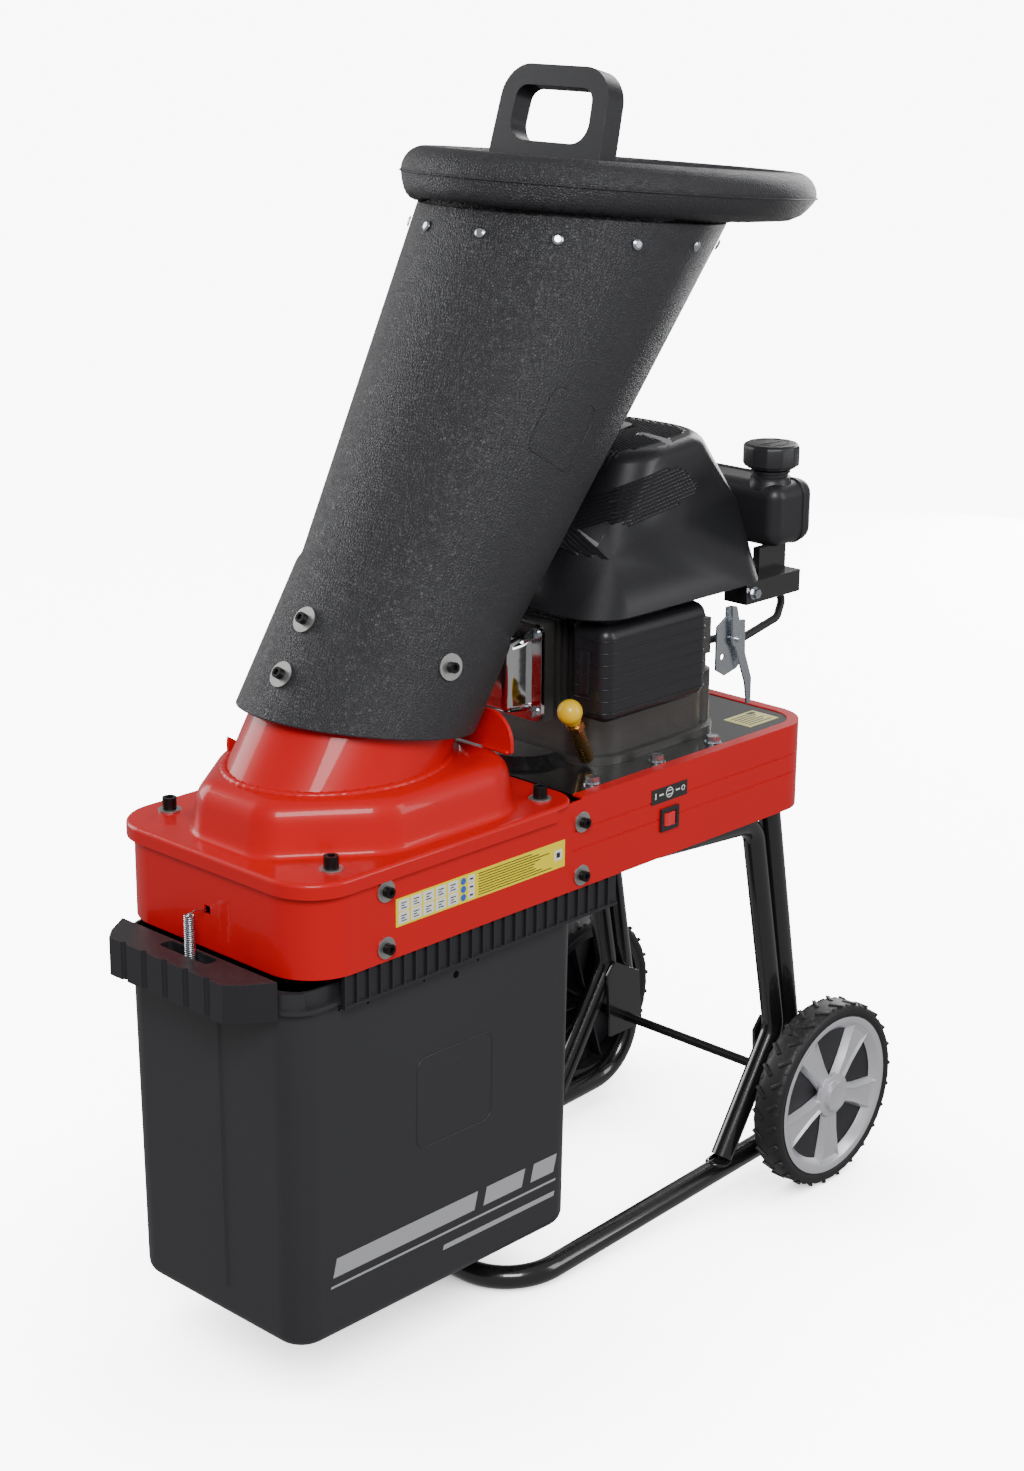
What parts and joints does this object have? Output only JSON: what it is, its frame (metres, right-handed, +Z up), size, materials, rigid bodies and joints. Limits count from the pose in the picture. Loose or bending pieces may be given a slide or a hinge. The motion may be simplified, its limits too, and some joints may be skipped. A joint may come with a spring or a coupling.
{
  "type": "wood chipper",
  "caption": "Petrol garden chipper: tilted feed chute with rim and pusher on a sheet-steel deck with engine, catch bin below, tube frame and rear wheels.",
  "frame": {"origin": "middle of the footprint, on the floor", "axes": "+Z up, +X towards the engine and wheels, -X towards the bin handle, -Y towards the side with the switch"},
  "size_m": [0.826, 0.3814, 1.1377],
  "materials": {
    "red_paint": "gloss powder coat on sheet steel",
    "black_paint": "gloss black powder coat",
    "textured_plastic": "leather-grain moulded polyethylene",
    "smooth_plastic": "satin moulded plastic",
    "zinc": "bright zinc plate",
    "black_oxide": "black oxide steel",
    "cast_alloy": "sand-blasted cast aluminium",
    "chrome_cover": "bright plated pressing",
    "tyre_rubber": "moulded rubber with a block tread",
    "silver_plastic": "silver painted plastic",
    "rubber": "black rubber",
    "label_yellow": "printed film with plain shapes only",
    "label_black": "printed film",
    "red_plastic": "translucent red rocker",
    "yellow_plastic": "yellow moulded ball",
    "brass": "machined brass",
    "tool_steel": "ground tool steel",
    "ceramic": "glazed insulator and steel shell"
  },
  "bodies": {
    "chassis": {"base_tube": "black_paint", "strut_left": "black_paint", "strut_right": "black_paint", "axle_plates": "black_paint", "wheel_axle": "black_paint", "axle_rings": "zinc", "front_tub": "red_paint", "rear_skirt": "red_paint", "deck_plate": "black_paint", "lid_pan": "red_paint", "inlet_neck": "red_paint", "chamber_floor": "black_paint", "belt_guard": "black_paint", "cap_screws": "black_oxide", "washers": "zinc", "deck_bolts": "zinc", "bin_rails": "smooth_plastic", "side_label": "label_yellow", "switch_label": "label_black", "rear_label": "label_yellow", "switch_bezel": "smooth_plastic", "feed_chute": "textured_plastic", "chute_rim": "textured_plastic", "chute_rivets": "zinc", "kickback_flap": "rubber", "crankcase": "cast_alloy", "cylinder": "cast_alloy", "valve_cover": "chrome_cover", "engine_bolts": "zinc", "spark_plug": "ceramic", "filter_base": "smooth_plastic", "filter_cover": "smooth_plastic", "carburettor": "cast_alloy", "blower_cover": "smooth_plastic", "starter_screen": "smooth_plastic", "fuel_tank": "smooth_plastic", "fuel_hose": "rubber", "tank_bracket": "black_paint", "throttle_plate": "zinc", "oil_filler": "brass", "muffler": "tool_steel", "drive_belt": "rubber"},
    "wheel_left": {"tyre_left": "tyre_rubber", "rim_left": "silver_plastic", "hub_cap_left": "silver_plastic"},
    "wheel_right": {"tyre_right": "tyre_rubber", "rim_right": "silver_plastic", "hub_cap_right": "silver_plastic"},
    "bin": {"catch_bin": "smooth_plastic", "bin_handle": "smooth_plastic", "latch_spring": "zinc"},
    "pusher": {"pusher_handle": "textured_plastic", "pusher_blade": "textured_plastic"},
    "rocker": {"switch_rocker": "red_plastic"},
    "tank_cap": {"fuel_cap": "smooth_plastic"},
    "dipstick": {"oil_cap": "yellow_plastic"},
    "throttle": {"throttle_lever": "zinc"},
    "starter": {"starter_grip": "smooth_plastic"},
    "crank": {"crankshaft": "tool_steel"},
    "rotor": {"cutter_rotor": "tool_steel"}
  },
  "joints": [
    {"name": "left_wheel_spin", "type": "hinge", "parent": "chassis", "child": "wheel_left", "pos_m": [0.313, 0.17, 0.1], "axis": [0, 1, 0], "continuous": true},
    {"name": "right_wheel_spin", "type": "hinge", "parent": "chassis", "child": "wheel_right", "pos_m": [0.313, -0.17, 0.1], "axis": [0, 1, 0], "continuous": true},
    {"name": "bin_slide", "type": "slide", "parent": "chassis", "child": "bin", "axis": [-1, 0, 0], "range_m": [0, 0.42]},
    {"name": "pusher_lift", "type": "slide", "parent": "chassis", "child": "pusher", "axis": [0.5388, 0, 0.8425], "range_m": [0, 0.36]},
    {"name": "switch_rock", "type": "hinge", "parent": "chassis", "child": "rocker", "pos_m": [0.097, -0.127, 0.446], "axis": [0, 0, 1], "range_deg": [-9, 9]},
    {"name": "fuel_cap_turn", "type": "hinge", "parent": "chassis", "child": "tank_cap", "pos_m": [0.287, -0.09, 0.752], "axis": [0, 0, 1], "range_deg": [0, 90]},
    {"name": "dipstick_pull", "type": "slide", "parent": "chassis", "child": "dipstick", "axis": [-0.5744, -0.2154, 0.7898], "range_m": [0, 0.06]},
    {"name": "throttle_swing", "type": "hinge", "parent": "chassis", "child": "throttle", "pos_m": [0.238, -0.092, 0.588], "axis": [0, 1, 0], "range_deg": [-12, 12]},
    {"name": "starter_pull", "type": "slide", "parent": "chassis", "child": "starter", "axis": [0, 1, 0], "range_m": [0, 0.3]},
    {"name": "crank_spin", "type": "hinge", "parent": "chassis", "child": "crank", "pos_m": [0.135, 0, 0.5], "axis": [0, 0, 1], "continuous": true},
    {"name": "rotor_spin", "type": "hinge", "parent": "chassis", "child": "rotor", "pos_m": [-0.205, 0, 0.45], "axis": [0, 0, 1], "continuous": true}
  ],
  "couplings": [
    {"joint": "rotor_spin", "follows": "crank_spin", "ratio": 0.6512}
  ]
}
